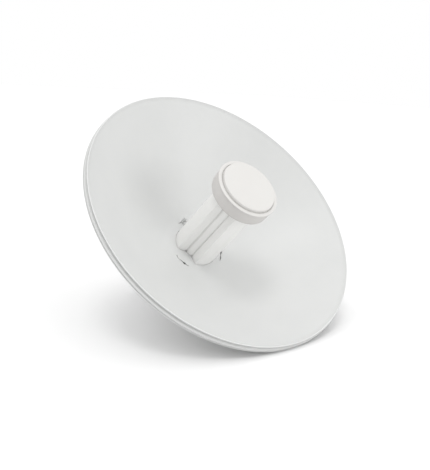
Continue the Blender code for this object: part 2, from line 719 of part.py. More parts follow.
def make_clamp_jaw():
    """Loose toothed jaw that closes on the pole from behind."""
    outline = rounded_box(-POLE_PLATE_HALF, POLE_PLATE_HALF, -0.0120, 0.0120, 0.0040)
    jaw = prism("clamp_jaw", outline, JAW_BACK, JAW_FRONT, "zinc_steel")
    for side in (-1, 1):
        shelf = [(JAW_FRONT + d, x) for x, d in tooth_outline(TOOTH_DEPTH)]
        near, far = sorted((side * JAW_TOOTH_Y, side * (JAW_TOOTH_Y + PLATE)))
        join(jaw, prism("tool", shelf, near, far, None, "Y"))
        hole = [(CLAMP_BOLT_R + HOLE_PLAY, JAW_BACK - 0.002), (CLAMP_BOLT_R + HOLE_PLAY, JAW_FRONT + 0.002)]
        cut(jaw, revolve("tool", hole, None, SEGMENTS_BOLT, centre=(side * CLAMP_BOLT_X, 0.0)))
    return jaw


# ---------------------------------------------------------------- fasteners
def hex_bolt(name, flats, head, shank, low, tip, along, centre=(0.0, 0.0), head_side=1):
    """Hexagon bolt: the head's seat is at depth low and the shank ends at depth tip."""
    top = low + head_side * head
    hexagon = polygon_ring(flats, 6, SEGMENTS_BOLT, centre)
    stem = circle(shank, SEGMENTS_BOLT, centre)
    rings = [(top, hexagon), (low, hexagon), (low, stem), (tip, stem)]
    return loft(name, rings, "zinc_steel", along)


def hex_nut(name, flats, bore, low, high, along, centre=(0.0, 0.0), flange=0.0):
    """Hexagon nut, with a round flange at its low side where one is asked for."""
    nut = polygon_ring(flats, 6, SEGMENTS_BOLT, centre)
    hole = circle(bore, SEGMENTS_BOLT, centre)
    rings = [(low, hole)]
    if flange:
        skirt = low + (high - low) * 0.22
        edge = circle(flange, SEGMENTS_BOLT, centre)
        rings += [(low, edge), (skirt, edge)]
        rings += [(skirt + (high - low) * 0.08, nut)]
    else:
        rings += [(low, nut)]
    rings += [(high, nut), (high, hole)]
    return loft(name, rings, "zinc_steel", along, closed=True)


def washer(name, inner, outer, low, high, along, centre=(0.0, 0.0)):
    profile = [(inner, low), (outer, low), (outer, high), (inner, high)]
    return revolve(name, profile, "zinc_steel", SEGMENTS_BOLT, along, centre, closed=True)


def make_bracket_bolts():
    for number, turn in enumerate((45, 135, 225, 315), 1):
        centre = (SCREW_CIRCLE * math.cos(math.radians(turn)), SCREW_CIRCLE * math.sin(math.radians(turn)))
        seat = DISH_PLATE_BACK - GAP
        hex_bolt(f"bracket_bolt_{number}", 0.0080, 0.0035, 0.0025, seat, -0.0075, "Z", centre, -1)


def cross_bolt(prefix, y, flats, head, shank, washer_outer):
    """A bolt across both brackets' ears with a washer and a nut."""
    centre = (y, PIVOT_Z)
    seat = POLE_EAR_OUT + GAP
    bore = shank + HOLE_PLAY
    thick = 0.0016
    nut_low = -seat - thick - GAP
    hex_bolt(f"{prefix}_bolt", flats, head, shank, seat, nut_low - 0.0095, "X", centre)
    washer(f"{prefix}_washer", bore, washer_outer, -seat - thick, -seat, "X", centre)
    hex_nut(f"{prefix}_nut", flats, bore, nut_low, nut_low - 0.0065, "X", centre)


def make_clamp_bolts():
    for side, word in ((-1, "left"), (1, "right")):
        centre = (side * CLAMP_BOLT_X, 0.0)
        seat = POLE_PLATE_FRONT + GAP
        square = polygon_ring(0.0080, 4, SEGMENTS_BOLT, centre)
        rings = [(seat + 0.0040, circle(0.0022, SEGMENTS_BOLT, centre))]
        rings += [(seat + 0.0030, circle(0.0050, SEGMENTS_BOLT, centre))]
        rings += [(seat, circle(0.0078, SEGMENTS_BOLT, centre))]
        rings += [(seat, square), (seat - 0.0040, square)]
        tip = -CLAMP_BOLT_END
        rings += [(seat - 0.0040, circle(CLAMP_BOLT_R * 0.98, SEGMENTS_BOLT, centre))]
        rings += [(tip + 0.0010, circle(CLAMP_BOLT_R * 0.98, SEGMENTS_BOLT, centre))]
        rings += [(tip, circle(CLAMP_BOLT_R - 0.0010, SEGMENTS_BOLT, centre))]
        loft(f"clamp_bolt_{word}", rings, "zinc_steel")
        bore = CLAMP_BOLT_R + HOLE_PLAY
        low = JAW_BACK - GAP
        washer(f"clamp_washer_{word}", bore, 0.0080, low - 0.0016, low, "Z", centre)
        nut_low = low - 0.0016 - GAP
        hex_nut(f"clamp_nut_{word}", 0.0130, bore, nut_low, nut_low - 0.0065, "Z", centre, flange=0.0080)


# ---------------------------------------------------------------- stance
def lowest(points, elevation):
    """Height of the lowest of (drop, depth) points when the dish looks up by this angle."""
    return min(depth * math.sin(elevation) - drop * math.cos(elevation) for drop, depth in points)


def resting_elevation():
    """The angle at which the rim and the tips of the clamp bolts touch the table together."""
    rim = dish_profile()
    tips = [(CLAMP_BOLT_R - 0.0010, -CLAMP_BOLT_END), (CLAMP_BOLT_R * 0.98, -CLAMP_BOLT_END + 0.0010)]
    low, high = math.radians(20), math.radians(70)
    for _ in range(60):
        middle = (low + high) / 2
        if lowest(rim, middle) < lowest(tips, middle):
            low = middle
        else:
            high = middle
    return low


def lay_down(pieces):
    """Parents the pieces to the stance, with the origin on the table under the middle of the box."""
    elevation = resting_elevation()
    turn = Matrix.Rotation(math.pi / 2 - elevation, 4, "X")
    bpy.context.view_layer.update()
    corners = [turn @ vertex.co for piece in pieces for vertex in piece.data.vertices]
    low = [min(corner[i] for corner in corners) for i in range(3)]
    high = [max(corner[i] for corner in corners) for i in range(3)]
    stance = bpy.data.objects.new("stance", None)
    bpy.context.scene.collection.objects.link(stance)
    stance.rotation_euler = (math.pi / 2 - elevation, 0.0, 0.0)
    stance.location = (-(low[0] + high[0]) / 2, -(low[1] + high[1]) / 2, -low[2])
    for piece in pieces:
        piece.parent = stance


def main():
    make_dish()
    make_housing()
    make_rear_cover()
    make_vent_plug()
    make_port_cover()
    make_cable_gland()
    make_release_button()
    make_feed_seal()
    make_feed_tube()
    make_feed_cap()
    make_feed_lid()
    make_subreflector()
    make_cap_seal()
    make_driven_element()
    make_board()
    make_shields()
    make_ethernet_jack()
    make_reset()
    make_tail_plate()
    make_led_lens()
    make_dish_bracket()
    make_pole_bracket()
    make_clamp_jaw()
    make_bracket_bolts()
    cross_bolt("pivot", PIVOT_UP, 0.0130, 0.0053, PIVOT_BOLT_R, 0.0080)
    cross_bolt("lock", LOCK_Y, 0.0100, 0.0040, LOCK_BOLT_R, 0.0066)
    make_clamp_bolts()
    lay_down([piece for piece in bpy.context.scene.objects if piece.type == "MESH"])


for old in list(bpy.data.objects):
    bpy.data.objects.remove(old)
MATERIALS = make_materials()
main()
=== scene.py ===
import json
import math

import bpy
from mathutils import Matrix, Vector

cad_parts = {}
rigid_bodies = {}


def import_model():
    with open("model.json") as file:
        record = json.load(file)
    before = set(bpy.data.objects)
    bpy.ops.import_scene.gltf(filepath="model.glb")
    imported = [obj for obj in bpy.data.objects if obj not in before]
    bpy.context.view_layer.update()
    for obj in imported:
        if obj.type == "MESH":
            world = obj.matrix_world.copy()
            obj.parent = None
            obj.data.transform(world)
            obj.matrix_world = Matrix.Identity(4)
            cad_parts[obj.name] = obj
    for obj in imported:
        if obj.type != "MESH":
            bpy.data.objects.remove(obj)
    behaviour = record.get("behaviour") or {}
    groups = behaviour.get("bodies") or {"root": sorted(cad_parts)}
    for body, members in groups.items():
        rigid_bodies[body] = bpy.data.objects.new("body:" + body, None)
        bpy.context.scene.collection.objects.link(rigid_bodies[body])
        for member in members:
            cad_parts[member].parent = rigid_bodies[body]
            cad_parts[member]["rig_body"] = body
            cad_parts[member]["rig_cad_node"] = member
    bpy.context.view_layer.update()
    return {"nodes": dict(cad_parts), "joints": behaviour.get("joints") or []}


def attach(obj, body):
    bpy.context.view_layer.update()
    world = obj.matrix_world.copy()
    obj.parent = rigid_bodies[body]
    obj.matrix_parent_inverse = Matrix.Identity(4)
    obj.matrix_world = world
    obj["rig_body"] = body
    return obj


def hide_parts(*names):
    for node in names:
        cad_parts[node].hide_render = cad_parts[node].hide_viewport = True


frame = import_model()
nodes = frame["nodes"]

# The unit is modelled standing on its hub: origin in the middle of the hub's face, +Z where the dish looks.
# layDown() then turns each finished piece to the way the unit lies.
joints = {joint["name"]: joint for joint in frame["joints"]}
lookAxis = Vector(joints["feed_pull"]["axis"])
pivotPlace = Vector(joints["dish_tilt"]["pos_m"])
hub = {"pivotUp": 0.0120, "pivotBack": 0.0463, "play": 0.0003}
layMatrix = (
    Matrix.Translation(pivotPlace)
    @ Matrix.Rotation(math.atan2(-lookAxis.y, lookAxis.z), 4, "X")
    @ Matrix.Translation((0, -hub["pivotUp"], hub["pivotBack"]))
)


# ---- workshop helpers
def clearPick():
    for thing in bpy.context.selected_objects:
        thing.select_set(False)


def pick(thing):
    clearPick()
    thing.select_set(True)
    bpy.context.view_layer.objects.active = thing


def settle(thing):
    pick(thing)
    bpy.ops.object.transform_apply(location=True, rotation=True, scale=True)
    return thing


def layDown(thing):
    thing.matrix_world = layMatrix @ thing.matrix_world
    return settle(thing)


def openEdit(thing, chosen=True):
    pick(thing)
    bpy.ops.object.mode_set(mode="EDIT")
    bpy.ops.mesh.select_all(action="SELECT" if chosen else "DESELECT")


def closeEdit():
    bpy.ops.object.mode_set(mode="OBJECT")


def tidyMesh(thing, angle=35):
    openEdit(thing)
    bpy.ops.mesh.remove_doubles(threshold=0.000005)
    bpy.ops.mesh.normals_make_consistent(inside=False)
    closeEdit()
    pick(thing)
    bpy.ops.object.shade_smooth_by_angle(angle=math.radians(angle))
    return thing


def addModifier(thing, kind, **settings):
    pick(thing)
    step = thing.modifiers.new(kind.lower(), kind)
    for key, value in settings.items():
        setattr(step, key, value)
    bpy.ops.object.modifier_apply(modifier=step.name)
    return thing


def softEdges(thing, width, segments=2, angle=40):
    return addModifier(
        thing, "BEVEL", width=width, segments=segments, limit_method="ANGLE", angle_limit=math.radians(angle),
        use_clamp_overlap=True,
    )


def cutWith(thing, *tools, mode="DIFFERENCE"):
    for tool in tools:
        addModifier(thing, "BOOLEAN", operation=mode, solver="EXACT", object=tool)
        bpy.data.objects.remove(tool)
    return thing


def turned(name, profile, corners=96, closed=True):
    # a ring is drawn out and resized from step to step of the (radius, height) profile
    clearPick()
    radius, height = profile[0]
    bpy.ops.mesh.primitive_circle_add(vertices=corners, radius=radius, fill_type="NOTHING", location=(0, 0, height))
    thing = settle(bpy.context.object)
    thing.name = name
    openEdit(thing)
    for nextRadius, nextHeight in profile[1:] + (profile[:1] if closed else []):
        bpy.ops.mesh.extrude_region_move(TRANSFORM_OT_translate={"value": (0, 0, nextHeight - height)})
        share = nextRadius / radius
        bpy.ops.transform.resize(value=(share, share, 1), center_override=(0, 0, 0))
        radius, height = nextRadius, nextHeight
    if not closed:
        bpy.ops.mesh.select_all(action="SELECT")
        bpy.ops.mesh.fill_holes(sides=0)
    closeEdit()
    return tidyMesh(thing)


def plateBlock(name, low, high):
    clearPick()
    middle = [(a + b) / 2 for a, b in zip(low, high)]
    bpy.ops.mesh.primitive_cube_add(size=1, location=middle, scale=[b - a for a, b in zip(low, high)])
    thing = settle(bpy.context.object)
    thing.name = name
    return thing


def moveTo(thing, place=(0, 0, 0), turn=0, axis="Z"):
    thing.matrix_world = Matrix.Translation(place) @ Matrix.Rotation(math.radians(turn), 4, axis) @ thing.matrix_world
    return settle(thing)


def copyOf(thing, name):
    pick(thing)
    bpy.ops.object.duplicate(linked=False)
    double = bpy.context.object
    double.name = name
    return double


def fromCad(node):
    # a CAD node's loose triangles, copied, merged and brought back to clean faces, ready for soft edges
    thing = copyOf(nodes[node], node + "Fine")
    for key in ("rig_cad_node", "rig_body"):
        if key in thing:
            del thing[key]
    place = thing.matrix_world.copy()
    thing.parent = None
    thing.matrix_world = place
    thing.data.materials.clear()
    openEdit(thing)
    bpy.ops.mesh.customdata_custom_splitnormals_clear()
    bpy.ops.mesh.remove_doubles(threshold=0.00001)
    bpy.ops.mesh.dissolve_limited(angle_limit=math.radians(1))
    closeEdit()
    return thing


def mount(thing, body, stands, look):
    thing.data.materials.clear()
    thing.data.materials.append(look)
    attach(thing, body)
    for node in stands if isinstance(stands, (list, tuple)) else [stands]:
        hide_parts(node)
    return thing


# ---- finishes
def newLook(name):
    made = bpy.data.materials.new(name)
    made.use_nodes = True
    tree = made.node_tree
    return made, tree, tree.nodes["Principled BSDF"]


def surfaceLook(name, colour, shade, roughness, roughSpread, grain, grainHeight, metallic=0.0, streak=1.0,
                wearColour=None, coat=0.0, mottle=18.0):
    # colour drifts between two close shades, roughness drifts with it, fine grain lifts the surface,
    # and worn edges show wearColour
    made, tree, shader = newLook(name)
    add, join = tree.nodes.new, tree.links.new
    place = add("ShaderNodeTexCoord")
    stretch = add("ShaderNodeMapping")
    stretch.inputs["Scale"].default_value = (1.0, 1.0, streak)
    join(place.outputs["Object"], stretch.inputs["Vector"])
    drift = add("ShaderNodeTexNoise")
    drift.inputs["Scale"].default_value = mottle
    drift.inputs["Detail"].default_value = 4.0
    join(stretch.outputs["Vector"], drift.inputs["Vector"])
    tone = add("ShaderNodeValToRGB")
    tone.color_ramp.elements[0].position = 0.35
    tone.color_ramp.elements[0].color = (*shade, 1.0)
    tone.color_ramp.elements[1].position = 0.65
    tone.color_ramp.elements[1].color = (*colour, 1.0)
    join(drift.outputs["Fac"], tone.inputs["Fac"])
    base = tone.outputs["Color"]
    if wearColour:
        edge = add("ShaderNodeNewGeometry")
        band = add("ShaderNodeMapRange")
        band.inputs["From Min"].default_value = 0.56
        band.inputs["From Max"].default_value = 0.66
        join(edge.outputs["Pointiness"], band.inputs["Value"])
        worn = add("ShaderNodeMix")
        worn.data_type = "RGBA"
        worn.inputs["B"].default_value = (*wearColour, 1.0)
        join(band.outputs["Result"], worn.inputs["Factor"])
        join(base, worn.inputs["A"])
        base = worn.outputs["Result"]
    join(base, shader.inputs["Base Color"])
    gloss = add("ShaderNodeMapRange")
    gloss.inputs["To Min"].default_value = roughness - roughSpread
    gloss.inputs["To Max"].default_value = roughness + roughSpread
    join(drift.outputs["Fac"], gloss.inputs["Value"])
    join(gloss.outputs["Result"], shader.inputs["Roughness"])
    fine = add("ShaderNodeTexNoise")
    fine.inputs["Scale"].default_value = grain
    fine.inputs["Detail"].default_value = 3.0
    join(stretch.outputs["Vector"], fine.inputs["Vector"])
    lift = add("ShaderNodeBump")
    lift.inputs["Strength"].default_value = 0.35
    lift.inputs["Distance"].default_value = grainHeight
    join(fine.outputs["Fac"], lift.inputs["Height"])
    join(lift.outputs["Normal"], shader.inputs["Normal"])
    shader.inputs["Metallic"].default_value = metallic
    shader.inputs["Coat Weight"].default_value = coat
    return made


powderCoat = surfaceLook("powderCoat", (0.604, 0.609, 0.602), (0.591, 0.597, 0.590), 0.42, 0.05, 900.0, 0.00006)
capPlastic = surfaceLook("capPlastic", (0.610, 0.600, 0.582), (0.596, 0.586, 0.568), 0.45, 0.05, 1500.0, 0.00004)
# the cap's side wall gets a darker, warmer copy of the lid's plastic: painted shade standing in for the shade that
# falls on the wall
cupPaintedShadePlastic = surfaceLook("cupPaintedShadePlastic", (0.575, 0.560, 0.545), (0.545, 0.530, 0.515), 0.48, 0.05, 1500.0, 0.00004)
tubePlastic = surfaceLook("tubePlastic", (0.820, 0.817, 0.802), (0.805, 0.802, 0.787), 0.42, 0.05, 1500.0, 0.00004)
hubPlastic = surfaceLook("hubPlastic", (0.625, 0.622, 0.608), (0.608, 0.605, 0.592), 0.48, 0.06, 1500.0, 0.00005)
buttonPlastic = surfaceLook("buttonPlastic", (0.30, 0.31, 0.32), (0.26, 0.27, 0.28), 0.50, 0.06, 1800.0, 0.00004)
zincPlate = surfaceLook("zincPlate", (0.66, 0.67, 0.68), (0.54, 0.55, 0.57), 0.34, 0.08, 420.0, 0.00003,
                        metallic=1.0, streak=0.25, wearColour=(0.80, 0.80, 0.80), mottle=60.0)
boltZinc = surfaceLook("boltZinc", (0.72, 0.72, 0.71), (0.60, 0.60, 0.60), 0.28, 0.07, 900.0, 0.00002,
                       metallic=1.0, wearColour=(0.86, 0.86, 0.85), mottle=140.0)
pressedAluminium = surfaceLook("pressedAluminium", (0.80, 0.80, 0.81), (0.70, 0.70, 0.71), 0.30, 0.06, 500.0, 0.00002,
                               metallic=1.0, streak=0.2, mottle=80.0)
blackRubber = surfaceLook("blackRubber", (0.030, 0.030, 0.030), (0.020, 0.020, 0.020), 0.78, 0.08, 1200.0, 0.00005)
blackPlastic = surfaceLook("blackPlastic", (0.040, 0.040, 0.042), (0.028, 0.028, 0.030), 0.48, 0.06, 1600.0, 0.00003)
boardGreen = surfaceLook("boardGreen", (0.030, 0.160, 0.070), (0.020, 0.110, 0.050), 0.35, 0.06, 700.0, 0.00002, coat=0.3)
lightPipe = surfaceLook("lightPipe", (0.78, 0.86, 0.90), (0.72, 0.80, 0.85), 0.18, 0.04, 900.0, 0.00002, coat=0.4)
print("finishes mixed")


# ---- reflector
def bowlCurve(dish):
    # (radius, height) up the bowl: flat at the hub, then easing into the parabola
    radii, heights, slopeSum = [dish["flat"]], [0.0], 0.0
    steps = dish["steps"]
    for i in range(1, steps + 1):
        last = radii[-1]
        radius = dish["flat"] + (dish["lip"] - dish["flat"]) * i / steps
        middle = (radius + last) / 2
        slopeSum += middle * (1 - math.exp(-(middle - dish["flat"]) / dish["ease"])) * (radius - last)
        radii.append(radius)
        heights.append(slopeSum)
    return [(radius, height * dish["lipStart"] / heights[-1]) for radius, height in zip(radii, heights)]


def lobedPrism(name, low, high, grow=0.0, taper=1.0, corners=180):
    # round bar with three wide channels cut along it
    tube = {"radius": 0.0335, "floor": 0.0225, "half": 0.0058, "spread": 30.0}
    bar = turned(name, [(tube["radius"] + grow, low), (tube["radius"] + grow, high)], corners, closed=False)
    spread = math.radians(tube["spread"])
    runX = tube["radius"] * math.sin(spread) - tube["half"]
    runY = tube["radius"] * math.cos(spread) - tube["floor"]
    slant = math.hypot(runX, runY)
    backOff = grow * (slant - runX) / runY
    reach = 0.0250
    for turn in (0, 120, 240):
        cutter = plateBlock("channelCutter", (-0.001, 0, low - 0.01), (0.001, reach, high + 0.01))
        openEdit(cutter, chosen=False)
        closeEdit()
        for corner in cutter.data.vertices:
            corner.select = False
        halfFloor = tube["half"] - backOff
        for corner in cutter.data.vertices:
            sign = 1 if corner.co.x > 0 else -1
            if corner.co.y < reach / 2:
                corner.co.x, corner.co.y = sign * halfFloor, tube["floor"] + grow
            else:
                corner.co.x = sign * (halfFloor + runX / runY * reach)
                corner.co.y = tube["floor"] + grow + reach
        moveTo(cutter, turn=turn)
        cutWith(bar, cutter)
    if taper != 1.0:
        openEdit(bar, chosen=False)
        closeEdit()
        for corner in bar.data.vertices:
            corner.select = corner.co.z > (low + high) / 2
        pick(bar)
        bpy.ops.object.mode_set(mode="EDIT")
        bpy.ops.transform.resize(value=(taper, taper, 1), center_override=(0, 0, 0))
        closeEdit()
    return bar


def arcPiece(name, inner, outer, low, high, start, end, corners=240):
    # a stretch of a ring between two angles
    ring = turned(name, [(inner, low), (outer, low), (outer, high), (inner, high)], corners)
    for angle, side in ((start, 1), (end, -1)):
        turn = math.radians(angle)
        openEdit(ring)
        bpy.ops.mesh.bisect(plane_co=(0, 0, 0), plane_no=(side * math.sin(turn), -side * math.cos(turn), 0),
                            clear_outer=True, use_fill=True)
        closeEdit()
    return tidyMesh(ring)


def makeReflector():
    dish = {"flat": 0.0470, "lip": 0.2064, "lipStart": 0.0944, "ease": 0.0090, "steps": 44, "skin": 0.00125,
            "top": 0.0950, "corners": 240, "slotCircle": 0.0430, "slotWide": 0.0014, "windowWide": 0.0034}
    top, skin = dish["top"], dish["skin"]
    front = bowlCurve(dish)
    rim = [(0.20655, -0.0002), (0.2069, 0.0), (0.2076, 0.0), (0.2080, -0.0002), (0.2082, -0.0006), (0.2082, -0.0009),
           (0.2079, -0.0013), (0.2060, -0.0020), (0.2052, -0.0028), (0.2050, -0.0034), (0.2052, -0.0042),
           (0.2060, -0.0048), (0.2086, -0.0051), (0.2092, -0.0054), (0.2095, -0.0060), (0.2095, -0.0078),
           (0.2092, -0.0083), (0.2082, -0.0085), (0.2079, -0.0088), (0.2082, -0.0091), (0.2097, -0.0094),
           (0.2099, -0.0096), (0.2098, -0.0101), (0.2094, -0.0105), (0.2080, -0.0106), (0.2062, -0.0100), (0.2050, -0.0086)]
    back = []
    for (radius, height), (nextRadius, nextHeight) in zip(front[:-1], front[1:]):
        if radius < 0.2025:
            slope = math.atan2(nextHeight - height, nextRadius - radius)
            back.append((radius + skin * math.sin(slope), height - skin * math.cos(slope)))
    profile = [(0.0180, 0.0)] + front + [(radius, top + drop) for radius, drop in rim]
    profile += back[::-1] + [(0.0180, -skin)]
    reflector = turned("reflector", profile, dish["corners"])
    cutWith(reflector, lobedPrism("keyCutter", -0.01, 0.01, grow=0.0004))
    half, wide, circle = dish["slotWide"] / 2, dish["windowWide"] / 2, dish["slotCircle"]
    for middle in (90, 210, 330):
        slot = arcPiece("slotCutter", circle - half, circle + half, -0.01, 0.01, middle - 16, middle + 16)
        window = arcPiece("windowCutter", circle - wide, circle + wide, -0.011, 0.011, middle + 4, middle + 8.5)
        cutWith(reflector, slot, window)
    softEdges(reflector, 0.0002, 2)
    tidyMesh(reflector, 30)
    return mount(layDown(reflector), "dish_unit", "reflector_dish", powderCoat)


makeReflector()
print("reflector spun")


# ---- feed
def makeTube():
    tube = {"tail": -0.0175, "head": 0.1290, "wall": 0.0022, "taper": 0.94, "groove": 0.0054, "grooveWide": 0.0013, "grooveSlim": 0.0009}
    taper = 1 - (1 - tube["taper"]) * tube["head"] / 0.1250
    outside = lobedPrism("feedTubeFine", 0.0, tube["head"], taper=taper)
    tail = lobedPrism("tail", tube["tail"], 0.0005)
    cutWith(outside, tail, mode="UNION")
    for turn in (0, 120, 240):
        for side in (-1, 1):
            wide = tube["grooveWide"] if side > 0 else tube["grooveSlim"]
            groove = plateBlock("grooveCutter", (side * tube["groove"] - wide, 0.0006, -0.0300),
                                (side * tube["groove"] + wide, 0.0100, tube["head"] + 0.0100))
            lean = math.degrees(math.atan2(0.0225 * (1 - tube["taper"]), 0.1250))
            moveTo(groove, turn=lean, axis="X")
            moveTo(groove, (0, 0.0225 - 0.0020, 0))
            moveTo(groove, turn=turn)
            cutWith(outside, groove)
    softEdges(outside, 0.0009, 3, angle=12)
    inside = lobedPrism("hollow", 0.0, tube["head"] + 0.002, grow=-tube["wall"], taper=taper)
    lowInside = lobedPrism("lowHollow", tube["tail"] - 0.002, 0.0005, grow=-tube["wall"])
    cutWith(inside, lowInside, mode="UNION")
    cutWith(outside, inside)
    cutWith(outside, plateBlock("jackWindow", (-0.0066, -0.0400, -0.0140), (0.0066, -0.0280, -0.0052)))
    lampWindow = plateBlock("lampWindow", (-0.0046, 0.0175, 0.0180), (0.0046, 0.0275, 0.0216))
    resetHole = turned("resetHole", [(0.0019, -0.008), (0.0019, 0.008)], 32, closed=False)
    moveTo(resetHole, turn=90, axis="X")
    moveTo(resetHole, (0.0108, -0.0325, -0.0096))
    cutWith(outside, lampWindow, resetHole)
    tidyMesh(outside, 28)
    return mount(layDown(outside), "feed", "feed_tube", tubePlastic)


def makeCap():
    cap = {"low": 0.1250, "radius": 0.0452, "wall": 0.0020, "top": 0.1449, "corners": 160}
    low, radius, top = cap["low"], cap["radius"], cap["top"]
    inner = radius - cap["wall"]
    profile = [(0.0120, low), (radius - 0.0026, low), (radius - 0.0016, low + 0.0003), (radius - 0.0006, low + 0.0010),
               (radius - 0.0002, low + 0.0020), (radius - 0.0001, low + 0.0032), (radius, top - 0.0010),
               (radius - 0.0004, top - 0.0002), (radius - 0.0008, top), (inner, top), (inner, low + 0.0025),
               (0.0120, low + 0.0025)]
    cup = turned("feedCup", profile, cap["corners"])
    cutWith(cup, lobedPrism("cupHole", low - 0.01, low + 0.01, grow=0.0003))
    tidyMesh(cup, 30)
    # the side wall wears the darker plastic that paints in the shade on it
    return mount(layDown(cup), "feed", "feed_cap", cupPaintedShadePlastic)


def makeLid():
    lid = {"under": 0.1452, "edge": 0.0461, "top": 0.1474, "disc": 0.0400, "rise": 0.0040, "corners": 160}
    under, edge, top, disc = lid["under"], lid["edge"], lid["top"], lid["disc"]
    high = top + lid["rise"]
    profile = [(0.0411, under - 0.0050), (0.0429, under - 0.0050), (0.0429, under), (edge - 0.0008, under),
               (edge - 0.0002, under + 0.0003), (edge, under + 0.0009), (edge - 0.0001, top - 0.0007),
               (edge - 0.0006, top - 0.0002), (edge - 0.0013, top), (disc + 0.0014, top), (disc + 0.0012, top - 0.0009),
               (disc + 0.0003, top - 0.0011), (disc, top - 0.0007), (disc, top + 0.0004), (disc - 0.0001, high - 0.0014),
               (disc - 0.0005, high - 0.0005), (disc - 0.0014, high - 0.0001), (disc - 0.0026, high),
               (0.0006, high + 0.0), (0.0006, high - 0.0020), (disc - 0.0030, high - 0.0020), (disc - 0.0030, under)]
    cover = turned("feedLidFine", profile, lid["corners"])
    openEdit(cover, chosen=False)
    closeEdit()
    for corner in cover.data.vertices:
        corner.select = math.hypot(corner.co.x, corner.co.y) < 0.0007
    pick(cover)
    bpy.ops.object.mode_set(mode="EDIT")
    bpy.ops.mesh.select_mode(type="VERT")
    bpy.ops.mesh.remove_doubles(threshold=0.0013)
    closeEdit()
    tidyMesh(cover, 30)
    return mount(layDown(cover), "feed", "feed_lid", capPlastic)


makeTube()
makeCap()
makeLid()
print("feed moulded")


# ---- hub behind the dish
def makeHubHousing():
    housing = {"front": -0.0015, "back": -0.0200, "radius": 0.0520, "wall": 0.0025, "socket": 0.0370, "socketWall": 0.0030,
               "screwCircle": 0.0452, "post": 0.0038, "bore": 0.0028, "hookCircle": 0.0430, "corners": 160}
    front, back, radius = housing["front"], housing["back"], housing["radius"]
    floor, inner = front - 0.0030, radius - housing["wall"]
    socketOut = housing["socket"] + housing["socketWall"]
    profile = [(housing["socket"], front - 0.0004), (housing["socket"] + 0.0004, front), (radius - 0.0022, front),
               (radius - 0.0010, front - 0.0004), (radius - 0.0003, front - 0.0011), (radius, front - 0.0022),
               (radius, -0.0106), (radius - 0.0004, -0.0108), (radius - 0.0004, -0.0112), (radius, -0.0114),
               (radius, back + 0.0004), (radius - 0.0003, back), (inner, back), (inner, floor), (socketOut, floor),
               (socketOut, back + 0.0006), (housing["socket"], back + 0.0006)]
    shell = turned("hubHousing", profile, housing["corners"])
    for turn in (45, 135, 225, 315):
        angle = math.radians(turn)
        centre = (housing["screwCircle"] * math.cos(angle), housing["screwCircle"] * math.sin(angle), 0)
        post = turned("post", [(housing["post"], back + 0.0006), (housing["post"], floor + 0.0006)], 32, closed=False)
        cutWith(shell, moveTo(post, centre), mode="UNION")
        bore = turned("bore", [(housing["bore"], back - 0.002), (housing["bore"], floor - 0.0022)], 32, closed=False)
        cutWith(shell, moveTo(bore, centre))
    cutWith(shell, plateBlock("cableWindow", (-0.0140, -radius - 0.002, -0.0172), (0.0140, -0.0300, -0.0052)))
    cutWith(shell, plateBlock("buttonWindow", (-0.0063, 0.0300, -0.0153), (0.0063, 0.0560, -0.0077)))
    for middle in (90, 210, 330):
        at, circle = middle - 8, housing["hookCircle"]
        stem = arcPiece("hookStem", circle - 0.0008, circle + 0.0008, front - 0.0015, 0.0005, at - 3.4, at + 3.4)
        head = arcPiece("hookHead", circle - 0.0013, circle + 0.0013, 0.0003, 0.0009, at - 4.0, at + 4.0)
        cutWith(shell, stem, head, mode="UNION")
        for start, end in ((1, 11),):
            gap = arcPiece("slotGap", circle - 0.0029, circle + 0.0029, floor - 0.001, front + 0.001,
                           middle + start, middle + end)
            cutWith(shell, gap)
    softEdges(shell, 0.0003, 2)
    tidyMesh(shell, 30)
    return mount(layDown(shell), "dish_unit", "rear_housing", hubPlastic)


def makeHubCover():
    cover = {"front": -0.0203, "back": -0.0228, "radius": 0.0520, "middle": 0.0100, "screwCircle": 0.0452, "corners": 160}
    front, back, radius, middle = cover["front"], cover["back"], cover["radius"], cover["middle"]
    profile = [(middle, front), (radius - 0.0003, front), (radius, front - 0.0003), (radius, back + 0.0013),
               (radius - 0.0002, back + 0.0006), (radius - 0.0006, back + 0.0002), (radius - 0.0013, back),
               (0.0498, back), (0.0496, back + 0.0005), (0.0488, back + 0.0005), (0.0486, back),
               (middle + 0.0003, back), (middle, back + 0.0003)]
    disc = turned("hubCover", profile, cover["corners"])
    for turn in (45, 135, 225, 315):
        angle = math.radians(turn)
        bore = turned("bore", [(0.0028, back - 0.002), (0.0028, front + 0.002)], 32, closed=False)
        cutWith(disc, moveTo(bore, (cover["screwCircle"] * math.cos(angle), cover["screwCircle"] * math.sin(angle), 0)))
    tidyMesh(disc, 30)
    return mount(layDown(disc), "dish_unit", "rear_cover", hubPlastic)


def makeVent():
    vent = {"front": -0.0203, "seat": -0.0231, "barrel": 0.0096, "head": 0.0106}
    seat, head = vent["seat"], vent["head"]
    profile = [(vent["barrel"] - 0.0005, vent["front"]), (vent["barrel"], vent["front"] - 0.0005), (vent["barrel"], seat),
               (head - 0.0002, seat), (head, seat - 0.0003), (head, seat - 0.0008), (head - 0.0004, seat - 0.0012),
               (head - 0.0012, seat - 0.0016), (head - 0.0024, seat - 0.0018), (0.0052, seat - 0.0018),
               (0.0049, seat - 0.0012), (0.0036, seat - 0.0012), (0.0033, seat - 0.0018)]
    plug = turned("ventPlug", profile, 72, closed=False)
    for turn in (0, 60, 120):
        slit = plateBlock("slit", (-0.0098, -0.0004, seat - 0.0020), (0.0098, 0.0004, seat - 0.0013))
        cutWith(plug, moveTo(slit, turn=turn))
    tidyMesh(plug, 30)
    return mount(layDown(plug), "dish_unit", "vent_plug", blackRubber)


